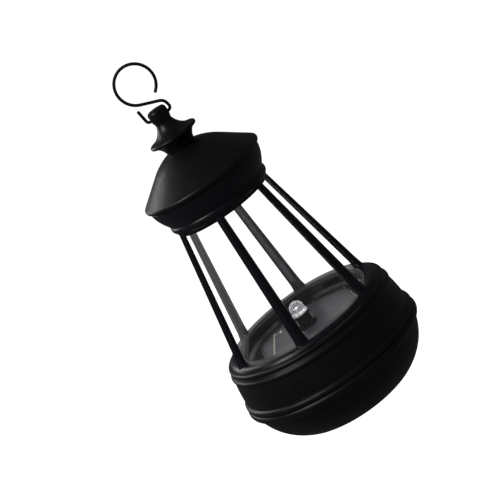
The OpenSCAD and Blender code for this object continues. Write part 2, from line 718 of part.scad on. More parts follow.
module battery_wires() color([0.7, 0.1, 0.1]) for (s = [-1, 1])
    wire([[s * tab_x, 0, holder_top_z - holder_wall - 0.5], [s * tab_x, 0, holder_top_z + 6],
          [s * 12, s * 7, 36], [s * 12, s * 7, board_z]], 0.55);

module switch_wires() color([0.1, 0.1, 0.1]) for (x = [0, 3])
    wire([[x, switch_y, switch_z + switch_h + 4], [x, switch_y - 1, 20], [x + 3, -13, 34],
          [x + 3, -10, 43], [x + 3, -10, board_z]], 0.5);

base_bowl();
base_shell();
band_seal();
base_screws();
cage();
cage_screws();
clear_shade();
shade_gasket();
panel_tray();
panel_bezel();
solar_panel();
panel_bus_bar();
led_holder();
led_ring();
led_lens();
led_leads();
roof();
roof_screws();
finial();
finial_screw();
finial_washer();
hanging_hook();
battery_holder();
battery_can();
battery_sleeve();
contact_spring();
contact_plate();
battery_door();
door_seal();
door_screws();
circuit_board();
board_screws();
controller_chip();
inductor();
capacitor();
switch_body();
switch_knob();
switch_gasket();
switch_screws();
switch_terminals();
panel_wires();
battery_wires();
switch_wires();
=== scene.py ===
"""Solar garden light: a hanging lantern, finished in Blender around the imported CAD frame.

Lengths in this file are millimetres unless a name says otherwise; MM turns them into Blender's metres.
"""
import json
import math

import bmesh
import bpy
from mathutils import Matrix, Vector


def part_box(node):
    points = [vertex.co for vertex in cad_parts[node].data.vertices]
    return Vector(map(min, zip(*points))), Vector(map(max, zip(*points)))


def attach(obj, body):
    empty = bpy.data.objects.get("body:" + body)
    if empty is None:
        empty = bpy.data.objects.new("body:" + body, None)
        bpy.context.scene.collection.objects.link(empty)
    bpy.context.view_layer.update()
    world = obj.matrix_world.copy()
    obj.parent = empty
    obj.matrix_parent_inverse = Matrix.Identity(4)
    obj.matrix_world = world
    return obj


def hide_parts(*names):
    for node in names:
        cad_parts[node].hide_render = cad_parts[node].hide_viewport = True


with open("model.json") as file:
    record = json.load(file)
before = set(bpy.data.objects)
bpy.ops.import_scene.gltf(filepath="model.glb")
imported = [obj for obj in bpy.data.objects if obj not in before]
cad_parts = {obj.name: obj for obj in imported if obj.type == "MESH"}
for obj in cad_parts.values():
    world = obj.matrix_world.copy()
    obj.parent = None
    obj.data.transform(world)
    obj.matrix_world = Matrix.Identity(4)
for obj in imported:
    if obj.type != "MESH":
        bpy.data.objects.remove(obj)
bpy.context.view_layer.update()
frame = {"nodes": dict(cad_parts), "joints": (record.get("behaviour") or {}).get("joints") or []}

MM = 0.001
scene = bpy.context.scene
nodes = frame["nodes"]
joints = {joint["name"]: joint for joint in frame["joints"]}


def low(node):
    """Lowest corner of a CAD node, in millimetres."""
    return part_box(node)[0] / MM


def high(node):
    """Highest corner of a CAD node, in millimetres."""
    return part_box(node)[1] / MM


# ---- Places taken from the frame ----
band_r = high("base_bowl").x
seam_z = low("base_shell").z - 0.4
shell_top = high("base_shell").z
ring_r = high("cage").x
collar_top = high("cage").z
roof_r = high("roof").x
seat_z = low("finial").z
stem_top = high("finial").z
disc_r = high("finial").x
tray_floor = low("solar_panel").z
tray_lip = high("panel_tray").z
shade_low = low("clear_shade").z
shade_high = high("clear_shade").z
shade_foot_r = high("clear_shade").x
led_low = low("led_lens").z
led_r = 5.0
led_flange_r = high("led_lens").x
pin_z = joints["hook_swing"]["pos_m"][2] / MM
wire_r = 1.0
RIBS = 6

# ---- Cage proportions ----
ring_inner_r = 46.5
ring_top = shell_top + 3
collar_low = collar_top - 21.2
rib_foot_r = 53.8
rib_head_r = 35.0
rib_w = 7.6
rib_t = 4.4
rib_taper = 0.68
rib_root = 2
rib_reach = 4
rib_lean = math.atan2(rib_foot_r - rib_head_r, collar_low - ring_top)
foot_h = 6

# ---- Base and panel proportions ----
bowl_side_r = 37
bowl_corner_r = 12
wall = 2.2
floor_t = 4
post_at = 32.5
post_hole_r = 3.45
door_corner = 4
door_gap = 0.15
door_screw_at = 33.2
bay_l = 55
bay_w = 16.2
switch_y = -25
panel_turn = 11.0
panel_r = 38.6
cell_strip = 11.5


def rib_share(z):
    """How much of its foot's width and depth a rib keeps at a height."""
    return 1 - (1 - rib_taper) * (z - ring_top + rib_root) / (collar_low - ring_top + rib_root + rib_reach)


def rib_r(z):
    return rib_foot_r - (z - ring_top) * math.tan(rib_lean)


def shade_corner_r(z):
    return rib_r(z) - rib_t * rib_share(z) - 0.8


# ---- Outline helpers ----

def arc(centre, radius, start, end, steps=16):
    """Points along an arc, in degrees."""
    out = []
    for i in range(steps + 1):
        a = math.radians(start + (end - start) * i / steps)
        out.append((centre[0] + radius * math.cos(a), centre[1] + radius * math.sin(a)))
    return out


def eased(points, radius=0.5, steps=4):
    """Rounds the corners of a closed outline. Corners on the axis and corners of fine arcs stay as they are."""
    out = []
    count = len(points)
    for i, corner in enumerate(points):
        c = Vector(corner)
        before, after = Vector(points[i - 1]) - c, Vector(points[(i + 1) % count]) - c
        room = min(before.length, after.length)
        if c.x < 1e-6 or room < 1e-6 or before.angle(after) > math.radians(158):
            out.append(tuple(c))
            continue
        cut = min(radius, 0.45 * room)
        a, b = c + before.normalized() * cut, c + after.normalized() * cut
        for k in range(steps + 1):
            t = k / steps
            out.append(tuple((1 - t) ** 2 * a + 2 * t * (1 - t) * c + t * t * b))
    return out


def hexagon_ring(corner_r, turn, z, clip, soft, count=240):
    """Points round a hexagon. clip cuts its corners off at that radius, and soft eases the cuts."""
    flat = corner_r * math.cos(math.pi / RIBS)
    out = []
    for i in range(count):
        a = 2 * math.pi * i / count
        part = (a - math.radians(turn)) % (2 * math.pi / RIBS) - math.pi / RIBS
        side = flat / math.cos(part)
        r = -soft * math.log(math.exp(-side / soft) + math.exp(-clip / soft))
        out.append(Vector((r * math.cos(a), r * math.sin(a), z)))
    return out


def circle_ring(r, z, count=240):
    return [Vector((r * math.cos(2 * math.pi * i / count), r * math.sin(2 * math.pi * i / count), z))
            for i in range(count)]


# ---- Mesh helpers ----

def lathe(bm, outline, segments=192, turn=None):
    """Turns a closed outline of (radius, height) about Z. turn places the result."""
    turn = turn or Matrix.Identity(4)
    rings = []
    for r, z in outline:
        count = 1 if r < 1e-6 else segments
        ring = []
        for i in range(count):
            a = 2 * math.pi * i / segments
            ring.append(bm.verts.new(turn @ Vector((r * math.cos(a) * MM, r * math.sin(a) * MM, z * MM))))
        rings.append(ring)
    for a, b in zip(rings, rings[1:] + rings[:1]):
        if len(a) == 1 and len(b) == 1:
            continue
        for i in range(segments):
            j = i + 1
            corners = [a[i % len(a)], a[j % len(a)], b[j % len(b)], b[i % len(b)]]
            bm.faces.new(list(dict.fromkeys(corners)))


def loft(bm, rings, closed=False):
    """Joins rings of equal length. closed links the last to the first; otherwise both ends are capped."""
    made = [[bm.verts.new(p * MM) for p in ring] for ring in rings]
    count = len(made[0])
    pairs = list(zip(made, made[1:]))
    if closed:
        pairs.append((made[-1], made[0]))
    else:
        bm.faces.new(made[0][::-1])
        bm.faces.new(made[-1])
    for a, b in pairs:
        for i in range(count):
            j = (i + 1) % count
            bm.faces.new((a[i], a[j], b[j], b[i]))


def add_object(name, bm, sharp=35):
    """Turns bm into a smooth-shaded object, with edges above the angle sharp (degrees) kept crisp."""
    bmesh.ops.remove_doubles(bm, verts=bm.verts, dist=1e-7)
    bmesh.ops.recalc_face_normals(bm, faces=bm.faces)
    mesh = bpy.data.meshes.new(name)
    bm.to_mesh(mesh)
    bm.free()
    mesh.shade_smooth()
    mesh.set_sharp_from_angle(angle=math.radians(sharp))
    obj = bpy.data.objects.new(name, mesh)
    scene.collection.objects.link(obj)
    return obj


def cut(obj, cutter):
    """Takes cutter's shape out of obj and removes cutter."""
    modifier = obj.modifiers.new("cut", "BOOLEAN")
    modifier.operation = "DIFFERENCE"
    modifier.solver = "EXACT"
    modifier.use_self = True
    modifier.object = cutter
    bpy.context.view_layer.update()
    depsgraph = bpy.context.evaluated_depsgraph_get()
    cleaned = bpy.data.meshes.new_from_object(obj.evaluated_get(depsgraph))
    obj.modifiers.clear()
    obj.data = cleaned
    obj.data.shade_smooth()
    obj.data.set_sharp_from_angle(angle=math.radians(35))
    bpy.data.objects.remove(cutter)


def piece(obj, body, slot, material, *replaced):
    """Gives obj its material, its body to ride on, and the CAD nodes that it stands for. slot is not used."""
    obj.data.materials.clear()
    obj.data.materials.append(material)
    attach(obj, body)
    if replaced:
        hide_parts(*replaced)
    return obj


def rounded_box(bm, length, width, corner, z0, z1, centre=(0, 0)):
    """An upright block with rounded corners."""
    outline = []
    for sx, sy, start in ((1, 1, 0), (-1, 1, 90), (-1, -1, 180), (1, -1, 270)):
        c = (centre[0] + sx * (length / 2 - corner), centre[1] + sy * (width / 2 - corner))
        outline += arc(c, corner, start, start + 90, 6)
    loft(bm, [[Vector((x, y, z)) for x, y in outline] for z in (z0, z1)])


# ---- Material helpers ----

class Shader:
    """One material and short ways to add nodes to it. Texture sizes are in millimetres."""

    def __init__(self, name):
        self.material = bpy.data.materials.new(name)
        self.material.use_nodes = True
        self.tree = self.material.node_tree
        self.tree.nodes.clear()
        self.output = self.add("OutputMaterial")
        self.bsdf = self.add("BsdfPrincipled")
        self.join(self.bsdf.outputs[0], self.output.inputs["Surface"])
        place = self.add("TexCoord").outputs["Object"]
        self.place = self.add("VectorMath", {"operation": "SCALE"}, Vector=place, Scale=1 / MM).outputs[0]

    def join(self, start, end):
        self.tree.links.new(start, end)

    def add(self, kind, settings=None, **inputs):
        node = self.tree.nodes.new("ShaderNode" + kind)
        for key, value in (settings or {}).items():
            setattr(node, key, value)
        for key, value in inputs.items():
            self.put(node.inputs[key.replace("_", " ")], value)
        return node

    def put(self, socket, value):
        if isinstance(value, bpy.types.NodeSocket):
            self.join(value, socket)
        elif isinstance(value, (tuple, list)) and len(value) == 3 and socket.type == "RGBA":
            socket.default_value = (*value, 1)
        else:
            socket.default_value = value

    def set(self, **inputs):
        for key, value in inputs.items():
            self.put(self.bsdf.inputs[key.replace("_", " ")], value)

    def stretch(self, x, y, z, turn=(0, 0, 0)):
        angles = tuple(math.radians(a) for a in turn)
        return self.add("Mapping", Vector=self.place, Scale=(x, y, z), Rotation=angles).outputs[0]

    def noise(self, size, detail=3, rough=0.5, place=None):
        place = place or self.place
        return self.add("TexNoise", Vector=place, Scale=1 / size, Detail=detail, Roughness=rough).outputs[0]

    def ramp(self, value, start, end, to_start=0.0, to_end=1.0):
        ends = {"From_Min": start, "From_Max": end, "To_Min": to_start, "To_Max": to_end}
        return self.add("MapRange", Value=value, **ends).outputs[0]

    def maths(self, operation, a, b=0.0):
        node = self.add("Math", {"operation": operation})
        self.put(node.inputs[0], a)
        self.put(node.inputs[1], b)
        return node.outputs[0]

    def mix(self, factor, a, b):
        node = self.add("Mix", {"data_type": "RGBA"})
        self.put(node.inputs[0], factor)
        self.put(node.inputs[6], a)
        self.put(node.inputs[7], b)
        return node.outputs[2]

    def specks(self, size, radius, keep):
        """Scattered round dots. size is their spacing, radius a share of it, keep the share that shows."""
        cells = self.add("TexVoronoi", Vector=self.place, Scale=1 / size)
        dot = self.ramp(cells.outputs["Distance"], radius, radius * 0.6)
        pick = self.add("SeparateColor", Color=cells.outputs["Color"]).outputs[0]
        return self.maths("MULTIPLY", dot, self.maths("LESS_THAN", pick, keep))

    def hairlines(self, size, width):
        """Fine curved scratches, only in patches."""
        band = self.maths("ABSOLUTE", self.maths("SUBTRACT", self.noise(size, 2, 0.4), 0.5))
        line = self.ramp(band, width, width * 0.3)
        return self.maths("MULTIPLY", line, self.ramp(self.noise(size * 1.7, 2), 0.56, 0.66))

    def edges(self, radius, reach=0.12):
        """1 along convex and concave edges, 0 on open faces."""
        soft = self.add("Bevel", {"samples": 4}, Radius=radius * MM).outputs[0]
        true = self.add("NewGeometry").outputs["Normal"]
        same = self.add("VectorMath", {"operation": "DOT_PRODUCT"})
        self.put(same.inputs[0], soft)
        self.put(same.inputs[1], true)
        return self.ramp(same.outputs["Value"], 1 - reach * 0.1, 1 - reach), soft

    def bump(self, height, depth, normal=None):
        node = self.add("Bump", Height=height, Distance=depth * MM, Strength=1.0)
        if normal is not None:
            self.join(normal, node.inputs["Normal"])
        return node.outputs[0]

    def blend(self, factor, first, second):
        """Shows a mix of two shaders in place of the plain one."""
        mix = self.add("MixShader", Fac=factor)
        self.join(first, mix.inputs[1])
        self.join(second, mix.inputs[2])
        self.join(mix.outputs[0], self.output.inputs["Surface"])

    def transparent(self, color=(1, 1, 1)):
        return self.add("BsdfTransparent", Color=color).outputs[0]


def shade_of(color, gain):
    return tuple(min(1.0, c * gain) for c in color)


def moulded(name, color, roughness, grain=0.012, dust=0.22, wear=0.35, rounding=0.3):
    """Injection-moulded plastic: uneven tone, fine grain, dust, hairline scratches and rubbed edges."""
    s = Shader(name)
    tone = s.noise(24, 4, 0.6)
    base = s.mix(tone, shade_of(color, 0.75), shade_of(color, 1.3))
    edge, soft = s.edges(rounding)
    rub = s.maths("MULTIPLY", edge, s.ramp(s.noise(2.2, 5, 0.65), 0.42, 0.68))
    base = s.mix(s.maths("MULTIPLY", rub, wear), base, (0.10, 0.10, 0.11))
    specks = s.specks(3.1, 0.05, dust)
    base = s.mix(s.maths("MULTIPLY", specks, 0.5), base, (0.22, 0.22, 0.24))
    scratch = s.hairlines(9, 0.0035)
    base = s.mix(s.maths("MULTIPLY", scratch, 0.35), base, (0.09, 0.09, 0.10))
    patch = s.ramp(s.noise(9, 4, 0.6), 0.3, 0.7, roughness * 0.85, roughness * 1.2)
    rough = s.maths("SUBTRACT", patch, s.maths("MULTIPLY", scratch, 0.1))
    fine = s.bump(s.noise(0.35, 3, 0.6), grain, soft)
    wavy = s.bump(s.noise(7, 2, 0.4), grain * 3, fine)
    s.set(Base_Color=base, Roughness=rough, Normal=wavy, IOR=1.5, Specular_IOR_Level=0.5)
    return s.material


def led_epoxy():
    """Clear cast epoxy with faint smears, dust and flow waves. Lamps light what is inside it."""
    s = Shader("led_epoxy")
    tint = (0.97, 0.98, 1.0)
    film = s.ramp(s.noise(16, 4, 0.6), 0.45, 0.8, 0.0, 0.01)
    specks = s.specks(4.2, 0.035, 0.2)
    rough = s.maths("ADD", film, s.maths("MULTIPLY", specks, 0.5))
    wavy = s.bump(s.noise(14, 2), 0.04)
    s.set(Base_Color=tint, Roughness=rough, IOR=1.52, Transmission_Weight=1.0, Normal=wavy)
    s.blend(s.add("LightPath").outputs["Is Shadow Ray"], s.bsdf.outputs[0], s.transparent(tint))
    return s.material


def shade_clear():
    """Thin clear walls, seen through without bending. A painted reflection of white surroundings, a glow from
    the walls themselves, is laid over what is behind them: faintly face on, more at a slant, and most along the
    moulded corners, where it is a painted glow. Smears and specks add painted sheen to it."""
    s = Shader("shade_clear")
    facing = s.add("LayerWeight", Blend=0.5).outputs["Facing"]
    # amounts of painted reflection: face on, at a slant, and as painted glow along the corners
    face_on, at_a_slant, along_corners = 0.005, 0.045, 0.05
    mirror = s.maths("ADD", s.maths("MULTIPLY", s.maths("POWER", facing, 5.0), at_a_slant), face_on)
    split = s.add("SeparateXYZ", Vector=s.place)
    flat = s.add("CombineXYZ", X=split.outputs[0], Y=split.outputs[1])
    reach = s.add("VectorMath", {"operation": "LENGTH"}, Vector=flat.outputs[0]).outputs["Value"]
    ends = (shade_low, shade_high)
    widest = s.ramp(split.outputs[2], *ends, shade_corner_r(ends[0]), shade_corner_r(ends[1]))
    # painted glow along the moulded corners
    corner = s.ramp(s.maths("DIVIDE", reach, widest), 0.970, 0.984, 0.0, along_corners)
    specks = s.specks(4.2, 0.03, 0.15)
    smears = s.ramp(s.noise(12, 5, 0.65), 0.55, 0.8, 0.0, 0.012)
    # real smears and specks, shown lighter by adding painted sheen to the glow
    dirt_and_sheen = s.maths("ADD", smears, s.maths("MULTIPLY", specks, 0.25))
    painted_reflection_and_dirt = s.add("Clamp", Value=s.maths("ADD", s.maths("ADD", mirror, corner), dirt_and_sheen)).outputs[0]
    # colour of the painted reflection: noise between lavender-grey and white
    tone = s.mix(s.noise(9, 3), (0.62, 0.64, 0.70), (0.97, 0.98, 1.0))
    # black base and no specular: the walls only glow in this colour, a painted reflection
    s.set(Base_Color=(0, 0, 0), Specular_IOR_Level=0.0, Emission_Color=tone, Emission_Strength=0.95)
    s.set(Normal=s.bump(s.noise(14, 2), 0.03))
    s.blend(painted_reflection_and_dirt, s.transparent(), s.bsdf.outputs[0])
    return s.material


def metal(name, color, roughness, grain=1.0):
    """Plated metal with fine brush marks and dull patches."""
    s = Shader(name)
    marks = s.noise(0.5, 4, 0.6, s.stretch(0.3, 3 * grain, 0.3, (10, 20, 30)))
    patch = s.noise(3.5, 4, 0.6)
    edge, soft = s.edges(0.15)
    base = s.mix(patch, shade_of(color, 0.7), shade_of(color, 1.08))
    base = s.mix(s.maths("MULTIPLY", edge, 0.4), base, shade_of(color, 1.3))
    rough = s.ramp(s.maths("ADD", marks, patch), 0.6, 1.4, roughness * 0.7, roughness * 1.4)
    s.set(Base_Color=base, Metallic=1.0, Roughness=rough, Normal=s.bump(marks, 0.01, soft))
    return s.material


def rubber(name, color):
    """Soft seal: matt, slightly mottled, with a dusty bloom."""
    s = Shader(name)
    bloom = s.ramp(s.noise(1.6, 5, 0.7), 0.45, 0.8)
    base = s.mix(s.maths("MULTIPLY", bloom, 0.3), color, shade_of(color, 2.6))
    s.set(Base_Color=base, Roughness=s.ramp(bloom, 0, 1, 0.62, 0.85), Normal=s.bump(s.noise(0.25, 3), 0.02))
    return s.material


def cell_panel():
    """Coated silicon: dark grey strips with thin gaps and fine contact fingers, under a satin, dusty coat."""
    s = Shader("panel_cells")
    split = s.add("SeparateXYZ", Vector=s.place)
    gap = s.ramp(s.maths("PINGPONG", split.outputs[0], cell_strip / 2), 0.12, 0.2, 1.0, 0.0)
    finger = s.ramp(s.maths("PINGPONG", split.outputs[1], 0.9), 0.04, 0.09, 1.0, 0.0)
    crystal = s.noise(2.6, 4, 0.7)
    silicon = s.mix(crystal, (0.082, 0.084, 0.096), (0.118, 0.120, 0.134))
    base = s.mix(s.maths("MULTIPLY", finger, 0.15), silicon, (0.26, 0.26, 0.28))
    base = s.mix(s.maths("MULTIPLY", gap, 0.5), base, (0.06, 0.06, 0.07))
    dust = s.specks(2.3, 0.05, 0.3)
    base = s.mix(s.maths("MULTIPLY", dust, 0.35), base, (0.4, 0.4, 0.42))
    film = s.ramp(s.noise(11, 4, 0.6), 0.35, 0.75, 0.32, 0.45)
    rough = s.maths("ADD", film, s.maths("MULTIPLY", dust, 0.3))
    s.set(Base_Color=base, Roughness=rough, IOR=1.5, Specular_IOR_Level=0.4)
    s.set(Normal=s.bump(s.noise(9, 2), 0.03))
    return s.material


def ribbon():
    """Tinned copper, dull and slightly yellow, with rippled solder."""
    s = Shader("tinned_ribbon")
    patch = s.noise(1.2, 4, 0.65)
    base = s.mix(patch, (0.50, 0.46, 0.36), (0.86, 0.82, 0.70))
    s.set(Base_Color=base, Metallic=0.75, Roughness=s.ramp(patch, 0.3, 0.7, 0.25, 0.5))
    s.set(Normal=s.bump(s.noise(0.8, 3), 0.05))
    return s.material


def insulation(name, color):
    """Wire insulation: smooth vinyl with a slight orange peel."""
    s = Shader(name)
    base = s.mix(s.noise(3, 3), shade_of(color, 0.8), shade_of(color, 1.2))
    s.set(Base_Color=base, Roughness=s.ramp(s.noise(1.5, 3), 0.3, 0.7, 0.28, 0.42))
    s.set(Normal=s.bump(s.noise(0.5, 2), 0.02))
    return s.material


def solder_mask():
    """Green board: woven glass under the mask, with tracks that show as slightly raised lines."""
    s = Shader("board_mask")
    split = s.add("SeparateXYZ", Vector=s.place)
    weave_x = s.maths("PINGPONG", split.outputs[0], 0.3)
    weave_y = s.maths("PINGPONG", split.outputs[1], 0.3)
    weave = s.maths("MULTIPLY", weave_x, weave_y)
    blocks = s.add("TexVoronoi", {"distance": "MANHATTAN"}, Vector=s.stretch(1, 1, 0.02), Scale=0.22)
    track = s.ramp(blocks.outputs["Distance"], 0.40, 0.43)
    base = s.mix(track, (0.010, 0.085, 0.030), (0.018, 0.140, 0.050))
    base = s.mix(s.ramp(weave, 0.0, 0.09, 0.25, 0.0), base, (0.03, 0.17, 0.07))
    s.set(Base_Color=base, Roughness=0.32, Normal=s.bump(track, 0.04, s.bump(weave, 0.02)))
    return s.material


def painted_wire():
    """Black-painted steel wire: glossy paint worn through in places to grey primer."""
    s = Shader("hook_paint")
    worn = s.ramp(s.noise(1.4, 5, 0.7), 0.70, 0.76)
    base = s.mix(s.noise(6, 3), (0.008, 0.008, 0.010), (0.018, 0.018, 0.020))
    base = s.mix(s.maths("MULTIPLY", worn, 0.35), base, (0.12, 0.12, 0.12))
    rough = s.ramp(s.noise(2.5, 4), 0.3, 0.7, 0.32, 0.52)
    s.set(Base_Color=base, Roughness=rough, Specular_IOR_Level=0.4, Normal=s.bump(s.noise(0.6, 3), 0.02))
    return s.material


BLACK = (0.0085, 0.0085, 0.0105)

materials = {
    "case": moulded("case_black", BLACK, 0.40),
    # cage black is lighter and bluer than the case black: painted bluish ambient light
    "rib": moulded("cage_black", (0.0125, 0.0135, 0.0190), 0.33, grain=0.008, dust=0.1, wear=0.45),
    "finial": moulded("finial_black", BLACK, 0.36, dust=0.35, wear=0.8, rounding=0.5),
    "tray": moulded("tray_gloss", (0.006, 0.006, 0.008), 0.16, grain=0.004, dust=0.3, wear=0.2),
    "inner": moulded("inner_black", (0.016, 0.016, 0.017), 0.5, dust=0.1),
    "grey": moulded("grey_plastic", (0.42, 0.42, 0.43), 0.45, dust=0.0, wear=0.1),
    "chip": moulded("chip_black", (0.012, 0.012, 0.012), 0.55, dust=0.0, wear=0.1),
    "shade": shade_clear(),
    "led": led_epoxy(),
    "panel": cell_panel(),
    "ribbon": ribbon(),
    "steel": metal("zinc_steel", (0.62, 0.62, 0.60), 0.34),
    "cup": metal("led_cup", (0.92, 0.92, 0.90), 0.12, 0.4),
    "rubber": rubber("seal_black", (0.012, 0.012, 0.012)),
    "wire_red": insulation("wire_red", (0.42, 0.02, 0.02)),
    "wire_black": insulation("wire_black", (0.015, 0.015, 0.016)),
    "sleeve": insulation("cell_sleeve", (0.05, 0.26, 0.10)),
    "coil": insulation("coil_lacquer", (0.12, 0.30, 0.15)),
    "capacitor": insulation("capacitor_sleeve", (0.02, 0.04, 0.17)),
    "board": solder_mask(),
    "hook": painted_wire(),
}


# ---- Base ----

def bowl_piece():
    """The bowl, turned from its outline, then cut for the battery door, the switch and the base screws."""
    crease = (band_r - 3, seam_z - 5.5)
    rise = 7.1
    side_c = (crease[0] - math.sqrt(bowl_side_r ** 2 - rise ** 2), crease[1] + rise)
    fall = side_c[1] - bowl_corner_r
    corner = (side_c[0] + math.sqrt((bowl_side_r - bowl_corner_r) ** 2 - fall ** 2), bowl_corner_r)
    join = math.degrees(math.atan2(-fall, corner[0] - side_c[0]))
    crease_at = -math.degrees(math.asin(rise / bowl_side_r))
    bead = (band_r - 3.2, seam_z - 2.5)
    tongue = band_r - 4.2
    outline = [(0, 0)] + arc(corner, bowl_corner_r, -90, join, 20)
    outline += arc(side_c, bowl_side_r, join, crease_at, 36)[1:]
    outline += arc(bead, 3.2, -64, 50, 20)
    outline += [(tongue, seam_z), (tongue, seam_z + 2.8), (tongue - 1.8, seam_z + 2.8),
                (tongue - 1.8, seam_z - 3.5)]
    outline += arc(side_c, bowl_side_r - wall, crease_at, join, 24)
    inner = arc(corner, bowl_corner_r - wall, join, -50, 10)
    outline += [p for p in inner if p[1] > floor_t] + [(inner[-1][0] - 3, floor_t), (0, floor_t)]
    bm = bmesh.new()
    lathe(bm, outline, 256)
    bowl = add_object("bowl_moulding", bm)
    bm = bmesh.new()
    door = high("battery_door")
    through = floor_t + 1
    rounded_box(bm, 2 * (door.x + door_gap), 2 * (door.y + door_gap), door_corner, -1, door.z + 0.6)
    rounded_box(bm, bay_l, bay_w, 1, 1, through)
    rounded_box(bm, 16, 8, 1.5, -1, 2.2, (0, switch_y))
    rounded_box(bm, 7.6, 3.2, 0.5, 1, through, (0, switch_y))
    for i in range(4):
        lathe(bm, [(0, -1), (post_hole_r, -1), (post_hole_r, through), (0, through)], 48, shift(*post_place(i)))
    cut(bowl, add_object("bowl_cutter", bm))
    return piece(bowl, "body", "case_plastic", materials["case"], "base_bowl")


def post_place(i):
    a = math.radians(45 + 90 * i)
    return post_at * math.cos(a), post_at * math.sin(a)


def shift(x, y, z=0.0):
    return Matrix.Translation(Vector((x, y, z)) * MM)


def bowl_posts():
    """The four screw posts of the bowl, open below as deep pockets, and the door's two screw bosses."""
    bm = bmesh.new()
    top = seam_z + 2.5
    tube = [(3.4, 0.4), (4.5, 0.4), (4.5, top), (1.7, top), (1.7, top - 10), (3.4, top - 10)]
    for i in range(4):
        lathe(bm, eased(tube, 0.25), 48, shift(*post_place(i)))
    boss = [(1.25, 2.4), (3, 2.4), (3, floor_t + 7), (1.25, floor_t + 7)]
    for x in (-door_screw_at, door_screw_at):
        lathe(bm, eased(boss, 0.25), 40, shift(x, 0))
    return piece(add_object("bowl_posts", bm), "body", "case_plastic", materials["case"])


def shell_piece():
    """The upper shell: its bead on the seam, a faintly swollen wall and two beads at the top."""
    foot_r, neck_r, neck_z = band_r - 2.5, band_r - 4.6, shell_top - 8.7
    bead = (band_r - 3.2, seam_z + 1.9)
    outline = [(47.2, shell_top - 2.4), (neck_r - 3.8, shell_top - 2.4), (neck_r - 2.2, neck_z),
               (foot_r - 2.2, seam_z + 5), (band_r - 4, seam_z + 4), (band_r - 4, seam_z + 0.4)]
    outline += arc(bead, 2.6, -35, 74, 20)
    side = []
    for i in range(25):
        t = i / 24
        z = seam_z + 4.6 + (neck_z - seam_z - 4.6) * t
        side.append((foot_r + (neck_r - foot_r) * t + 1.4 * t * (1 - t), z))
    outline += side + arc((neck_r - 1.4, neck_z + 2.2), 2, -52, 58, 14)
    outline += arc((neck_r - 2.5, neck_z + 6.9), 1.6, -48, 66, 12)
    outline += [(ring_r + 0.6, shell_top), (47.2, shell_top)]
    bm = bmesh.new()
    lathe(bm, eased(outline, 0.3, 3), 256)
    return piece(add_object("shell_moulding", bm, 50), "body", "case_plastic", materials["case"], "base_shell")


# ---- Cage ----

def rib_rings():
    """The sections of one rib, from inside the foot ring to inside the collar, at -Y before turning."""
    half = [(0, 0.55), (-rib_t * 0.42, rib_w / 2), (-rib_t, rib_w / 2), (-rib_t, rib_w * 0.2),
            (-rib_t * 0.78, rib_w * 0.13)]
    ridge = [(x, -y) for x, y in (half[2], half[1], half[0])] + half + [(x, -y) for x, y in (half[4], half[3])]
    off_axis = 20
    section = [(x - off_axis, y) for x, y in eased([(x + off_axis, y) for x, y in ridge], 0.45, 4)]
    rings = []
    steps = 28
    for i in range(steps + 1):
        z = ring_top - rib_root + (collar_low + rib_reach - ring_top + rib_root) * i / steps
        r, share = rib_r(z), rib_share(z)
        foot = max(0.0, 1 - (z - ring_top) / foot_h)
        flare = 0.18 * foot ** 2
        deep, wide = share * (1 + flare * 0.3), share * (1 + flare)
        rings.append([Vector((r + x * deep + 0.2 * foot ** 2, y * wide, z)) for x, y in section])
    return rings


def cage_piece():
    """One moulding: the domed foot ring, six ribs and the flared collar with its plate."""
    bm = bmesh.new()
    ring = [(ring_inner_r, ring_top - 0.4), (ring_inner_r, tray_lip + 0.1), (48.4, tray_lip + 0.1),
            (48.4, shell_top), (ring_r, shell_top)]
    ring += arc((ring_r - 4.4, shell_top - 1.4), 4.4, 33, 84, 16) + [(ring_inner_r + 0.6, ring_top)]
    lathe(bm, eased(ring, 0.35), 256)
    for i in range(RIBS):
        turn = Matrix.Rotation(math.radians(360 / RIBS * i - 90), 3, "Z")
        loft(bm, [[turn @ p for p in section] for section in rib_rings()])
    collar(bm)
    return piece(add_object("cage_moulding", bm, 40), "body", "case_plastic", materials["rib"], "cage")


def collar(bm):
    """The collar: a lip, a soft bead and a flare up to the roof, with a plate across its inside."""
    lip_r, inner_r, top_r = rib_head_r - 2.1, rib_head_r - 3.5, roof_r - 1.9
    bead = (lip_r - 1.3, collar_low + 5.3)
    plate = collar_low + 8.5
    outline = [(inner_r, collar_low), (lip_r, collar_low)] + arc(bead, 3.6, -54, 36, 18)
    for i in range(1, 21):
        t = 0.12 + 0.88 * i / 20
        outline.append((bead[0] + 3.2 + (top_r - bead[0] - 3.2) * math.sin(math.pi / 2 * t),
                        bead[1] + 2.4 + (collar_top - bead[1] - 2.4) * t))
    outline += [(top_r - 2.1, collar_top), (top_r - 2.1, collar_top - 4), (bead[0] + 0.9, plate + 2.4),
                (0, plate + 2.4), (0, plate), (bead[0] + 0.9, plate), (bead[0] + 0.9, collar_low + 2.5),
                (inner_r, collar_low + 2.5)]
    lathe(bm, eased(outline, 0.4), 256)


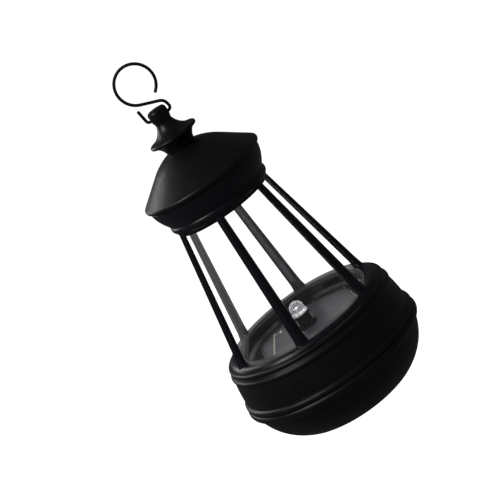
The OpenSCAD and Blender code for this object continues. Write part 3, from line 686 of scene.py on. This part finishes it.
def shade_piece():
    """The clear six-sided liner: thin walls with rounded corners on a round foot flange."""
    def hexagon(z, inset):
        r = shade_corner_r(z) - inset / math.cos(math.pi / RIBS)
        return hexagon_ring(r, -90, z, min(r * 0.985, shade_foot_r - max(inset, 0)), 0.35)

    heights = [shade_low + 2.6 + (shade_high - shade_low - 2.9) * i / 12 for i in range(13)]
    foot = shade_low + 1.8
    rings = [hexagon(shade_low, 1.5), circle_ring(shade_foot_r - 0.3, shade_low),
             circle_ring(shade_foot_r, shade_low + 0.3), circle_ring(shade_foot_r, foot - 0.3),
             circle_ring(shade_foot_r - 0.3, foot)]
    rings += [hexagon(foot + 0.05, -0.3)] + [hexagon(z, 0) for z in heights]
    rings += [hexagon(shade_high, 0.3), hexagon(shade_high, 1.2)]
    rings += [hexagon(z, 1.5) for z in reversed(heights)]
    bm = bmesh.new()
    loft(bm, rings, closed=True)
    liner = add_object("shade_liner", bm, 30)
    return piece(liner, "body", "clear_plastic", materials["shade"], "clear_shade")


# ---- Panel and LED ----

def panel_ring(r, z):
    return hexagon_ring(r, panel_turn - 90, z, r * 0.96, 0.25, 360)


def bezel_piece():
    """The raised frame round the panel, with eased edges."""
    bm = bmesh.new()
    inner, wide, deep = 0.2, 2.0, 1.8
    profile = [(inner, 0), (inner + wide, 0), (inner + wide, deep - 0.35), (wide - 0.1, deep - 0.07),
               (wide - 0.35, deep), (0.55, deep), (0.3, deep - 0.07), (inner, deep - 0.35)]
    loft(bm, [panel_ring(panel_r + out, tray_floor + up) for out, up in profile], closed=True)
    return piece(add_object("panel_frame", bm, 50), "body", "tray_plastic", materials["tray"], "panel_bezel")


def panel_piece():
    """The panel with its centre hole and a small chamfer."""
    bm = bmesh.new()
    top = high("solar_panel").z
    hole = 7.4
    rings = [circle_ring(hole, tray_floor, 360), panel_ring(panel_r, tray_floor),
             panel_ring(panel_r, top - 0.2), panel_ring(panel_r - 0.2, top),
             circle_ring(hole + 0.15, top, 360), circle_ring(hole, top - 0.15, 360)]
    loft(bm, rings, closed=True)
    return piece(add_object("panel_cells", bm, 30), "body", "panel_cell", materials["panel"], "solar_panel")


def bus_bar_piece():
    """A thin ribbon that waves slightly, a short branch, and drops of solder."""
    bm = bmesh.new()
    base = high("solar_panel").z
    start, end = low("panel_bus_bar"), high("panel_bus_bar")
    x, half, up = start.x + 0.6, 0.55, Vector((0, 0, 0.15))

    def strip(points):
        rings = []
        for i, p in enumerate(points):
            along = (points[min(i + 1, len(points) - 1)] - points[max(i - 1, 0)]).normalized()
            side = Vector((-along.y, along.x, 0)) * half
            rings.append([p - side, p + side, p + side + up, p - side + up])
        loft(bm, rings)

    count = 24
    line = []
    for i in range(count + 1):
        y = start.y + 0.2 + (end.y - start.y - 0.4) * i / count
        line.append(Vector((x + 0.12 * math.sin(i * 0.9), y, base + 0.01 + 0.04 * (1 + math.sin(i * 1.3)))))
    strip(line)
    branch_y, drop_x = end.y - 3.1, end.x - 1.3
    strip([Vector((x, branch_y, base + 0.04)), Vector((x + 2.6, branch_y + 0.3, base + 0.09)),
           Vector((drop_x, branch_y, base + 0.04))])
    for place, r in (((drop_x, branch_y), 1.25), ((x, end.y - 1.2), 0.8), ((x, start.y + 1.2), 0.8)):
        drop = [(0, 0), (r, 0)] + arc((0, -r * 0.6), r * 1.17, 31, 90, 8)
        lathe(bm, drop, 28, shift(place[0], place[1], base))
    bus_bar = add_object("bus_ribbon", bm, 40)
    return piece(bus_bar, "body", "tinned_copper", materials["ribbon"], "panel_bus_bar")


def led_lens_piece():
    """The clear LED body: rim flange, barrel and dome."""
    barrel = led_low + 3.6
    flange = led_low + 1.0
    outline = [(0, led_low), (led_flange_r, led_low), (led_flange_r, flange - 0.1),
               (led_flange_r - 0.1, flange), (led_r + 0.12, flange), (led_r, flange + 0.15), (led_r, barrel)]
    outline += arc((0, barrel), led_r, 4, 90, 26)
    bm = bmesh.new()
    lathe(bm, outline, 96)
    return piece(add_object("led_dome", bm, 40), "body", "led_clear", materials["led"], "led_lens")


def led_core_piece():
    """What shows inside the LED: the cup on its anvil with the die in it, and the post and arm beside it."""
    bm = bmesh.new()
    cup_z = led_low + 3.3
    foot = led_low + 0.1
    cup_x = -0.55
    anvil = [(0, foot), (0.55, foot), (0.6, cup_z - 1.2), (1.25, cup_z + 0.5), (1.1, cup_z + 0.5),
             (0.55, cup_z - 0.3), (0, cup_z - 0.3)]
    lathe(bm, anvil, 48, shift(cup_x, 0))
    rounded_box(bm, 0.55, 0.6, 0.12, foot, cup_z + 0.6, (1.27, 0))
    rounded_box(bm, 1.7, 0.55, 0.12, cup_z - 1.6, cup_z - 0.7, (1.6, 0))
    rounded_box(bm, 0.5, 0.5, 0.05, cup_z - 0.3, cup_z - 0.1, (cup_x, 0))
    return piece(add_object("led_core", bm, 40), "body", "steel", materials["cup"])


# ---- Roof, finial and hook ----

def roof_piece():
    """The cone with its rolled rim and shallow crown, and its seat for the finial."""
    slope, crown_r, crown_at = math.radians(37.8), 41.8, 24.8
    rim = (roof_r - 2, collar_top + 2.3)
    top_r = roof_r - 1.9
    crown_z = rim[1] + 2 * math.cos(slope) + (rim[0] + 2 * math.sin(slope) - crown_at) * math.tan(slope)
    crown = (crown_at - crown_r * math.sin(slope), crown_z - crown_r * math.cos(slope))
    start = 90 - math.degrees(slope)

    def crown_end(r, at):
        return math.degrees(math.acos((at - crown[0]) / r))

    outline = [(top_r - 2.2, collar_top - 2), (top_r - 2.2, collar_top + 0.08), (top_r, collar_top + 0.08)]
    outline += arc(rim, 2, -65, start, 20) + arc(crown, crown_r, start, crown_end(crown_r, 9.9), 30)
    outline += [(0, seat_z), (0, seat_z - 2.4), (9.9, seat_z - 2.4)]
    outline += arc(crown, crown_r - 2, crown_end(crown_r - 2, 11.3), start, 16)
    outline += [(rim[0] - 1.6, rim[1] + 0.6), (top_r - 3.8, collar_top), (top_r - 3.8, collar_top - 2)]
    bm = bmesh.new()
    lathe(bm, eased(outline, 0.3, 3), 256)
    return piece(add_object("roof_moulding", bm, 40), "body", "case_plastic", materials["case"], "roof")


def finial_piece():
    """The turned knob: waisted neck, thin disc, waisted stem with a chamfered head, drilled for the hook."""
    disc_z = seat_z + 8.4
    stem_r = 6.4
    outline = [(0, seat_z), (9.2, seat_z), (9.7, seat_z + 0.5), (9.7, seat_z + 0.9)]
    outline += arc((19, disc_z - 9.5), 9.3, 172, 116, 22)
    outline += arc((disc_r - 1.3, disc_z), 1.3, -74, 78, 18)
    outline += arc((disc_r + 0.8, disc_z + 13.1), 12, 256, 196, 28)
    outline += [(stem_r - 0.75, disc_z + 10.8), (stem_r - 0.2, disc_z + 12.4), (stem_r, disc_z + 13.6),
                (stem_r, stem_top - 2.7)]
    outline += arc((stem_r - 2.4, stem_top - 2.4), 2.4, 6, 60, 12) + [(3.2, stem_top), (0, stem_top)]
    bm = bmesh.new()
    lathe(bm, eased(outline, 0.35, 4), 160)
    finial = add_object("finial_knob", bm)
    bm = bmesh.new()
    across = Matrix.Translation((0, 0, pin_z * MM)) @ Matrix.Rotation(math.pi / 2, 4, "Y")
    lathe(bm, [(0, -20), (wire_r + 0.08, -20), (wire_r + 0.08, 20), (0, 20)], 40, across)
    cut(finial, add_object("pin_drill", bm))
    return piece(finial, "body", "case_plastic", materials["finial"], "finial")


def hook_path():
    """The wire's middle line in its own plane: runs and bends from the tail's tip to the loop's tip."""
    moves = [("run", 7.8), ("bend", 2.2, 84), ("pin", 13.1), ("bend", 2.2, 100), ("run", 1.5), ("bend", 5, 59),
             ("run", 11.9), ("bend", 12.8, -294), ("run", 2.4)]
    at, heading, middle = Vector((0.0, 0.0)), -84.0, None
    path = [(at.copy(), heading)]
    for kind, length, *turn in moves:
        if kind == "bend":
            steps = max(6, int(abs(turn[0]) * length / 40))
            for _ in range(steps):
                heading += turn[0] / steps / 2
                a = math.radians(heading)
                chord = 2 * length * math.sin(math.radians(abs(turn[0]) / steps / 2))
                at = at + chord * Vector((math.cos(a), math.sin(a)))
                heading += turn[0] / steps / 2
                path.append((at.copy(), heading))
            continue
        a = math.radians(heading)
        if kind == "pin":
            middle = at + length / 2 * Vector((math.cos(a), math.sin(a)))
        for _ in range(6):
            at = at + length / 6 * Vector((math.cos(a), math.sin(a)))
            path.append((at.copy(), heading))
    return [(p - middle, heading) for p, heading in path]


def hook_piece():
    """The hook: round wire swept along its path, its cut ends slightly rounded."""
    path = hook_path()
    sides = 20
    across = Vector((0, 1, 0))

    def ring(p, heading, radius, ahead=0.0):
        a = math.radians(heading)
        along, up = Vector((math.cos(a), 0, math.sin(a))), Vector((-math.sin(a), 0, math.cos(a)))
        centre = Vector((p.x, 0, p.y + pin_z)) + along * ahead
        out = []
        for k in range(sides):
            b = 2 * math.pi * k / sides
            out.append(centre + radius * (math.cos(b) * up + math.sin(b) * across))
        return out

    ends = ((0.7, 0.0), (0.88, 0.08), (0.97, 0.2))
    rings = [ring(*path[0], wire_r * share, ahead) for share, ahead in ends]
    rings += [ring(p, heading, wire_r) for p, heading in path[1:-1]]
    rings += [ring(*path[-1], wire_r * share, -ahead) for share, ahead in reversed(ends)]
    bm = bmesh.new()
    loft(bm, rings)
    return piece(add_object("hook_wire", bm, 50), "hook", "hook_wire", materials["hook"], "hanging_hook")


for build in (bowl_piece, bowl_posts, shell_piece, cage_piece, shade_piece, bezel_piece, panel_piece,
              bus_bar_piece, led_lens_piece, led_core_piece, roof_piece, finial_piece, hook_piece):
    build()

# CAD parts that are shown as they are, by the finish they get
finishes = {
    "tray": ["panel_tray", "led_holder"],
    "inner": ["battery_holder", "switch_body"],
    "case": ["battery_door"],
    "grey": ["led_ring", "switch_knob"],
    "chip": ["controller_chip"],
    "rubber": ["band_seal", "shade_gasket", "door_seal", "switch_gasket"],
    "steel": ["base_screws", "cage_screws", "roof_screws", "finial_screw", "finial_washer", "door_screws",
              "board_screws", "switch_screws", "switch_terminals", "battery_can", "contact_spring",
              "contact_plate", "led_leads"],
    "sleeve": ["battery_sleeve"],
    "coil": ["inductor"],
    "capacitor": ["capacitor"],
    "board": ["circuit_board"],
    "wire_red": ["panel_wires", "battery_wires"],
    "wire_black": ["switch_wires"],
}
for finish, names in finishes.items():
    for name in names:
        nodes[name].data.materials.clear()
        nodes[name].data.materials.append(materials[finish])


# ---- Floor, light and camera ----

# The camera stands in front and a little to the right of the -Y rib, looks down slightly and is rolled
AZIMUTH = 10.73
ROLL = 35.53
CAMERA_BACK = 921.9
CAMERA_Z = 346.6
AIM = Vector((-2.59, -0.49, 117.24))
FOCAL_LENGTH = 109.47
SENSOR_WIDTH = 36

# Strengths of the surroundings, and how much of the white ones is mirrored behind the shade
ROOM_LIGHT = 0.06
WHITE_LIGHT = 1.15
SHADE_REFLECTION = 0.5

# The floor is far below, so that the door and the battery have room to come out
FLOOR_Z = -0.12
FLOOR_HALF = 12.0


def floor_material():
    """Pale, evenly lit studio floor that can be looked through from below."""
    s = Shader("studio_floor")
    s.set(Base_Color=s.mix(s.noise(60, 3), (0.90, 0.90, 0.90), (0.93, 0.93, 0.93)), Roughness=0.8)
    s.set(Emission_Color=(1, 1, 1), Emission_Strength=1.0)
    toward_eye = s.add("SeparateXYZ", Vector=s.add("NewGeometry").outputs["Incoming"]).outputs[2]
    s.blend(s.maths("LESS_THAN", toward_eye, 0.0), s.bsdf.outputs[0], s.transparent())
    return s.material


def add_floor():
    bm = bmesh.new()
    signs = ((-1, -1), (1, -1), (1, 1), (-1, 1))
    bm.faces.new([bm.verts.new((x * FLOOR_HALF, y * FLOOR_HALF, FLOOR_Z)) for x, y in signs])
    floor = add_object("floor", bm)
    floor.data.materials.append(floor_material())
    floor.visible_glossy = False
    floor.visible_diffuse = False


def camera_axes():
    """Where the camera is, and its right, up and back directions."""
    a, roll = math.radians(AZIMUTH), math.radians(ROLL)
    place = Vector((CAMERA_BACK * math.sin(a), -CAMERA_BACK * math.cos(a), CAMERA_Z)) * MM
    ahead = (AIM * MM - place).normalized()
    right = ahead.cross(Vector((0, 0, 1))).normalized()
    up = right.cross(ahead)
    rolled_right = math.cos(roll) * right - math.sin(roll) * up
    rolled_up = math.sin(roll) * right + math.cos(roll) * up
    return place, rolled_right, rolled_up, -ahead


def add_camera():
    place, right, up, back = camera_axes()
    data = bpy.data.cameras.new("camera")
    data.lens = FOCAL_LENGTH
    data.sensor_width = SENSOR_WIDTH
    data.clip_start = 0.01
    camera = bpy.data.objects.new("camera", data)
    camera.matrix_world = Matrix((
        (right.x, up.x, back.x, place.x),
        (right.y, up.y, back.y, place.y),
        (right.z, up.z, back.z, place.z),
        (0, 0, 0, 1)))
    scene.collection.objects.link(camera)
    scene.camera = camera


def add_softbox(name, toward, distance, size, power):
    """A square area light that looks at the lantern's middle. toward is given along the camera's axes."""
    _, right, up, back = camera_axes()
    direction = (right * toward[0] + up * toward[1] + back * toward[2]).normalized()
    light = bpy.data.lights.new(name, "AREA")
    light.shape = "RECTANGLE"
    light.size, light.size_y = size
    light.energy = power
    obj = bpy.data.objects.new(name, light)
    obj.location = AIM * MM + direction * distance
    obj.rotation_mode = "QUATERNION"
    obj.rotation_quaternion = direction.to_track_quat("Z", "Y")
    scene.collection.objects.link(obj)


def add_world():
    """White to the camera and through the LED, weaker in reflections behind the shade, and dim otherwise."""
    world = bpy.data.worlds.new("studio")
    world.use_nodes = True
    tree = world.node_tree
    tree.nodes.clear()
    path = tree.nodes.new("ShaderNodeLightPath").outputs

    def maths(operation, a, b):
        node = tree.nodes.new("ShaderNodeMath")
        node.operation = operation
        node.use_clamp = True
        tree.links.new(a, node.inputs[0])
        if isinstance(b, float):
            node.inputs[1].default_value = b
        else:
            tree.links.new(b, node.inputs[1])
        return node.outputs[0]

    def background(color, strength):
        node = tree.nodes.new("ShaderNodeBackground")
        node.inputs["Color"].default_value = (*color, 1)
        node.inputs["Strength"].default_value = strength
        return node.outputs[0]

    behind_shade = maths("MINIMUM", path["Transparent Depth"], SHADE_REFLECTION)
    mirrored = maths("MULTIPLY", path["Is Glossy Ray"], behind_shade)
    seen = maths("MAXIMUM", path["Is Camera Ray"], path["Transmission Depth"])
    mix = tree.nodes.new("ShaderNodeMixShader")
    output = tree.nodes.new("ShaderNodeOutputWorld")
    tree.links.new(maths("MAXIMUM", seen, mirrored), mix.inputs[0])
    tree.links.new(background((0.92, 0.95, 1.0), ROOM_LIGHT), mix.inputs[1])
    tree.links.new(background((1, 1, 1), WHITE_LIGHT), mix.inputs[2])
    tree.links.new(mix.outputs[0], output.inputs["Surface"])
    scene.world = world


add_floor()
add_camera()
add_world()
add_softbox("key", (-0.85, 0.1, 0.5), 1.1, (0.35, 0.35), 2.8)
add_softbox("rim", (-0.8, 0.1, -0.6), 1.0, (0.3, 0.7), 1.5)

scene.view_settings.view_transform = "Standard"
scene.cycles.use_denoising = True
scene.cycles.max_bounces = 20
scene.cycles.glossy_bounces = 10
scene.cycles.transmission_bounces = 16
scene.cycles.transparent_max_bounces = 24
